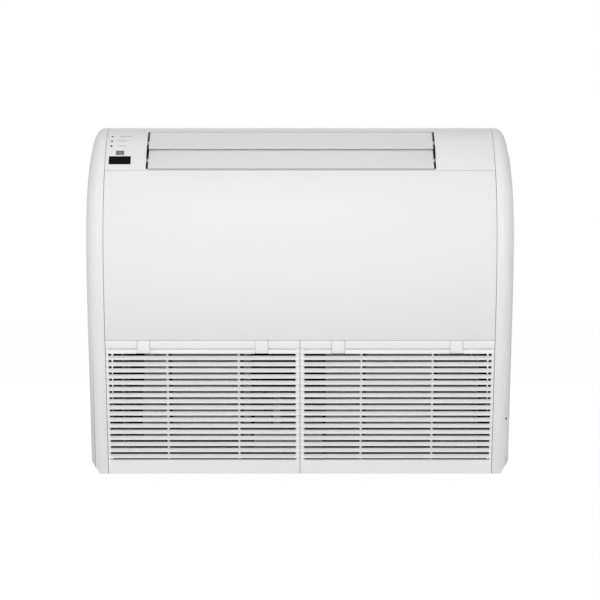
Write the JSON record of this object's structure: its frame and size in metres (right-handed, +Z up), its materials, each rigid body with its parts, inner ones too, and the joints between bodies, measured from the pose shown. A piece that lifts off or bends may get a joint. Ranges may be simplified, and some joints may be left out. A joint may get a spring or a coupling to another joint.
{
  "type": "floor-ceiling air conditioner",
  "caption": "Wall or ceiling air conditioner with motorised outlet louvers, hinged slatted inlet grilles, filters, a coil and drum fans in a curved white cabinet.",
  "frame": {"origin": "centre of the four hanger bolt holes, in the plane of the wall or ceiling", "axes": "+Z up when hung on a wall, +X to the right seen from the front, -Y out of the front"},
  "size_m": [0.836, 0.238, 0.695],
  "materials": {
    "white_plastic": "fine satin moulded white",
    "zinc_sheet": "zinc-coated pressed sheet",
    "dark_window": "dark polished window",
    "grey_button": "grey moulded button",
    "lamp_lens": "dark unlit lens",
    "circuit_board": "green board",
    "duct_plastic": "light grey moulded",
    "motor_case": "dark painted case",
    "fin_pack": "thin stacked fins",
    "copper": "drawn copper tube",
    "brass": "turned brass",
    "pan_foam": "moulded foam trough",
    "scroll_plastic": "grey moulded",
    "wheel_plastic": "dark grey moulded",
    "shaft_steel": "ground steel",
    "box_plastic": "grey moulded",
    "terminal_plastic": "pale moulded",
    "filter_plastic": "dark grey moulded frame"
  },
  "bodies": {
    "cabinet": {"back_plate": "zinc_sheet", "right_side_plate": "zinc_sheet", "base_plate": "zinc_sheet", "right_hanger": "zinc_sheet", "left_hanger": "zinc_sheet", "left_end_cover": "white_plastic", "right_end_cover": "white_plastic", "pipe_knockout_cover": "white_plastic", "left_side_plate": "zinc_sheet", "top_panel": "white_plastic", "front_panel": "white_plastic", "receiver_window": "dark_window", "display_board": "circuit_board", "lamp_lenses": "lamp_lens", "upper_louver_motor": "motor_case", "lower_louver_motor": "motor_case", "outlet_duct": "duct_plastic", "coil_fins": "fin_pack", "coil_end_plates": "zinc_sheet", "return_bends": "copper", "gas_pipe": "copper", "liquid_pipe": "copper", "flare_nuts": "brass", "drain_pan": "pan_foam", "fan_deck": "zinc_sheet", "left_scroll_front": "scroll_plastic", "left_scroll_rear": "scroll_plastic", "right_scroll_front": "scroll_plastic", "right_scroll_rear": "scroll_plastic", "fan_motor": "motor_case", "motor_bracket": "zinc_sheet", "motor_straps": "zinc_sheet", "control_box": "box_plastic", "control_board": "circuit_board", "control_box_cover": "box_plastic", "terminal_block": "terminal_plastic"},
    "fan": {"left_fan_wheel": "wheel_plastic", "right_fan_wheel": "wheel_plastic", "fan_shaft": "shaft_steel"},
    "left_grille": {"left_grille": "white_plastic", "left_filter": "filter_plastic"},
    "right_grille": {"right_grille": "white_plastic", "right_filter": "filter_plastic"},
    "mode_button": {"mode_button": "grey_button"},
    "upper_louver": {"upper_louver": "white_plastic"},
    "lower_louver": {"lower_louver": "white_plastic"},
    "left_vane_1": {"left_vane_1": "duct_plastic"},
    "left_vane_2": {"left_vane_2": "duct_plastic"},
    "left_vane_3": {"left_vane_3": "duct_plastic"},
    "left_vane_4": {"left_vane_4": "duct_plastic"},
    "left_vane_link": {"left_vane_link": "duct_plastic"},
    "right_vane_1": {"right_vane_1": "duct_plastic"},
    "right_vane_2": {"right_vane_2": "duct_plastic"},
    "right_vane_3": {"right_vane_3": "duct_plastic"},
    "right_vane_4": {"right_vane_4": "duct_plastic"},
    "right_vane_link": {"right_vane_link": "duct_plastic"},
    "left_latch_1": {"left_latch_1": "white_plastic"},
    "left_latch_2": {"left_latch_2": "white_plastic"},
    "right_latch_1": {"right_latch_1": "white_plastic"},
    "right_latch_2": {"right_latch_2": "white_plastic"}
  },
  "joints": [
    {"name": "fan_spin", "type": "hinge", "parent": "cabinet", "child": "fan", "pos_m": [-0.024, -0.07141, -0.2205], "axis": [1, 0, 0], "continuous": true},
    {"name": "lower_louver_tilt", "type": "hinge", "parent": "cabinet", "child": "lower_louver", "pos_m": [0, -0.17532, 0.27474], "axis": [-1, 0, 0], "range_deg": [0, 80]},
    {"name": "upper_louver_tilt", "type": "hinge", "parent": "cabinet", "child": "upper_louver", "pos_m": [0, -0.14682, 0.31133], "axis": [-1, 0, 0], "range_deg": [0, 80]},
    {"name": "left_vane_1_turn", "type": "hinge", "parent": "cabinet", "child": "left_vane_1", "pos_m": [-0.25925, -0.1254, 0.25681], "axis": [0, 0.7015, 0.7127], "range_deg": [-35, 35]},
    {"name": "left_vane_2_turn", "type": "hinge", "parent": "cabinet", "child": "left_vane_2", "pos_m": [-0.19025, -0.1254, 0.25681], "axis": [0, 0.7015, 0.7127], "range_deg": [-35, 35]},
    {"name": "left_vane_3_turn", "type": "hinge", "parent": "cabinet", "child": "left_vane_3", "pos_m": [-0.12125, -0.1254, 0.25681], "axis": [0, 0.7015, 0.7127], "range_deg": [-35, 35]},
    {"name": "left_vane_4_turn", "type": "hinge", "parent": "cabinet", "child": "left_vane_4", "pos_m": [-0.05225, -0.1254, 0.25681], "axis": [0, 0.7015, 0.7127], "range_deg": [-35, 35]},
    {"name": "left_vane_link_pivot", "type": "hinge", "parent": "left_vane_1", "child": "left_vane_link", "pos_m": [-0.25925, -0.10473, 0.23647], "axis": [0, 0.7015, 0.7127], "range_deg": [-35, 35]},
    {"name": "right_vane_1_turn", "type": "hinge", "parent": "cabinet", "child": "right_vane_1", "pos_m": [0.01675, -0.1254, 0.25681], "axis": [0, 0.7015, 0.7127], "range_deg": [-35, 35]},
    {"name": "right_vane_2_turn", "type": "hinge", "parent": "cabinet", "child": "right_vane_2", "pos_m": [0.08575, -0.1254, 0.25681], "axis": [0, 0.7015, 0.7127], "range_deg": [-35, 35]},
    {"name": "right_vane_3_turn", "type": "hinge", "parent": "cabinet", "child": "right_vane_3", "pos_m": [0.15475, -0.1254, 0.25681], "axis": [0, 0.7015, 0.7127], "range_deg": [-35, 35]},
    {"name": "right_vane_4_turn", "type": "hinge", "parent": "cabinet", "child": "right_vane_4", "pos_m": [0.22375, -0.1254, 0.25681], "axis": [0, 0.7015, 0.7127], "range_deg": [-35, 35]},
    {"name": "right_vane_link_pivot", "type": "hinge", "parent": "right_vane_1", "child": "right_vane_link", "pos_m": [0.01675, -0.10473, 0.23647], "axis": [0, 0.7015, 0.7127], "range_deg": [-35, 35]},
    {"name": "left_grille_hinge", "type": "hinge", "parent": "cabinet", "child": "left_grille", "pos_m": [0, -0.11376, -0.33731], "axis": [1, 0, 0], "range_deg": [0, 75]},
    {"name": "left_latch_1_slide", "type": "slide", "parent": "left_grille", "child": "left_latch_1", "axis": [0, 0.279, -0.9603], "range_m": [0, 0.004], "stiffness_N_per_m": 150},
    {"name": "left_latch_2_slide", "type": "slide", "parent": "left_grille", "child": "left_latch_2", "axis": [0, 0.279, -0.9603], "range_m": [0, 0.004], "stiffness_N_per_m": 150},
    {"name": "right_grille_hinge", "type": "hinge", "parent": "cabinet", "child": "right_grille", "pos_m": [0, -0.11376, -0.33731], "axis": [1, 0, 0], "range_deg": [0, 75]},
    {"name": "right_latch_1_slide", "type": "slide", "parent": "right_grille", "child": "right_latch_1", "axis": [0, 0.279, -0.9603], "range_m": [0, 0.004], "stiffness_N_per_m": 150},
    {"name": "right_latch_2_slide", "type": "slide", "parent": "right_grille", "child": "right_latch_2", "axis": [0, 0.279, -0.9603], "range_m": [0, 0.004], "stiffness_N_per_m": 150},
    {"name": "mode_button_press", "type": "slide", "parent": "cabinet", "child": "mode_button", "axis": [0, 0.7889, -0.6146], "range_m": [0, 0.0012], "stiffness_N_per_m": 400}
  ],
  "couplings": [
    {"joint": "upper_louver_tilt", "follows": "lower_louver_tilt", "ratio": 1},
    {"joint": "left_vane_2_turn", "follows": "left_vane_1_turn", "ratio": 1},
    {"joint": "left_vane_3_turn", "follows": "left_vane_1_turn", "ratio": 1},
    {"joint": "left_vane_4_turn", "follows": "left_vane_1_turn", "ratio": 1},
    {"joint": "left_vane_link_pivot", "follows": "left_vane_1_turn", "ratio": -1},
    {"joint": "right_vane_2_turn", "follows": "right_vane_1_turn", "ratio": 1},
    {"joint": "right_vane_3_turn", "follows": "right_vane_1_turn", "ratio": 1},
    {"joint": "right_vane_4_turn", "follows": "right_vane_1_turn", "ratio": 1},
    {"joint": "right_vane_link_pivot", "follows": "right_vane_1_turn", "ratio": -1}
  ]
}
